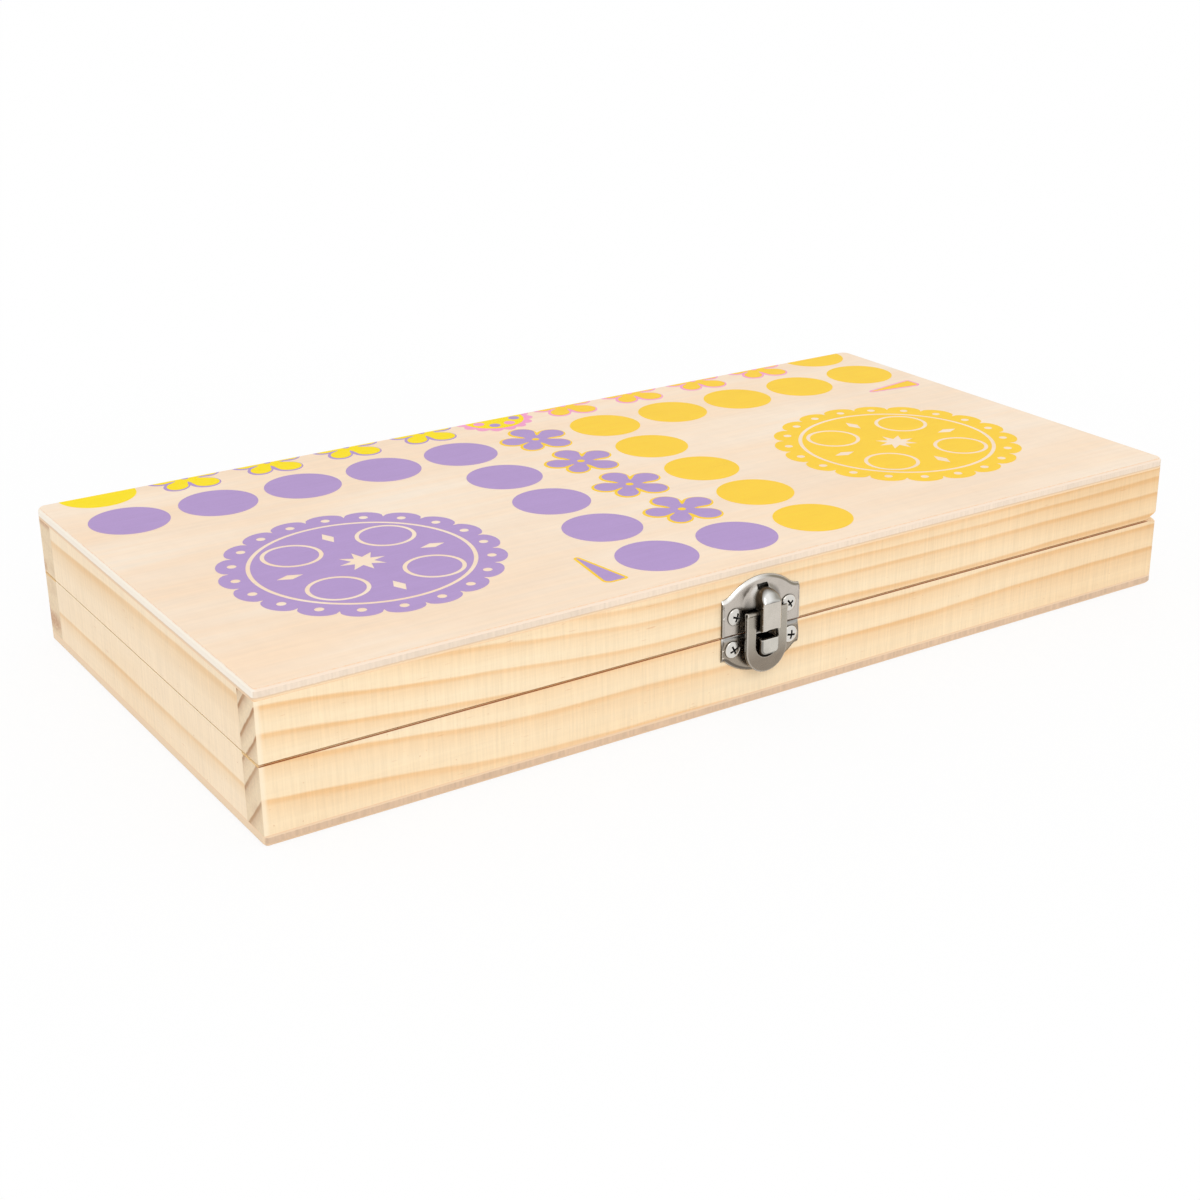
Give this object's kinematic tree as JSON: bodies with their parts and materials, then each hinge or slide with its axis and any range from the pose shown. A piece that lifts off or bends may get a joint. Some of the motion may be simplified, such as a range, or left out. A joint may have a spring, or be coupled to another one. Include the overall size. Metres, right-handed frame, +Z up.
{
  "type": "folding board game box",
  "caption": "Folding wooden board box: hinged trays with printed playing faces and a loop latch.",
  "frame": {"origin": "middle of the underside of the closed box", "axes": "+X to the right along the front, +Y to the hinged back, +Z up"},
  "size_m": [0.28, 0.1493, 0.038],
  "materials": {
    "birch_plywood": "sanded, clear satin coat",
    "pine": "sanded, clear satin coat",
    "latch_nickel": "satin nickel plate",
    "hinge_steel": "satin nickel plate",
    "screw_steel": "bright zinc plate",
    "purple_ink": "screen print",
    "golden_ink": "screen print",
    "yellow_ink": "screen print",
    "pink_ink": "screen print"
  },
  "bodies": {
    "base": {"lower_board_panel": "birch_plywood", "lower_front_rail": "pine", "lower_back_rail": "pine", "lower_left_end_rail": "pine", "lower_right_end_rail": "pine", "left_hinge_lower_leaf": "hinge_steel", "right_hinge_lower_leaf": "hinge_steel", "left_hinge_pin": "hinge_steel", "right_hinge_pin": "hinge_steel", "lower_hinge_screws": "screw_steel", "latch_base_plate": "latch_nickel", "base_latch_screws": "screw_steel"},
    "lid": {"upper_board_panel": "birch_plywood", "upper_front_rail": "pine", "upper_back_rail": "pine", "upper_left_end_rail": "pine", "upper_right_end_rail": "pine", "left_hinge_upper_leaf": "hinge_steel", "right_hinge_upper_leaf": "hinge_steel", "upper_hinge_screws": "screw_steel", "latch_lid_plate": "latch_nickel", "latch_tongue": "latch_nickel", "lid_latch_screws": "screw_steel"},
    "latch_loop": {"latch_loop": "latch_nickel"}
  },
  "joints": [
    {"name": "lid_hinge", "type": "hinge", "parent": "base", "child": "lid", "pos_m": [0, 0.0712, 0.02005], "axis": [-1, 0, 0], "range_deg": [0, 180]},
    {"name": "loop_swing", "type": "hinge", "parent": "lid", "child": "latch_loop", "pos_m": [-0.0047, -0.0739, 0.02555], "axis": [-1, 0, 0], "range_deg": [0, 160]}
  ]
}
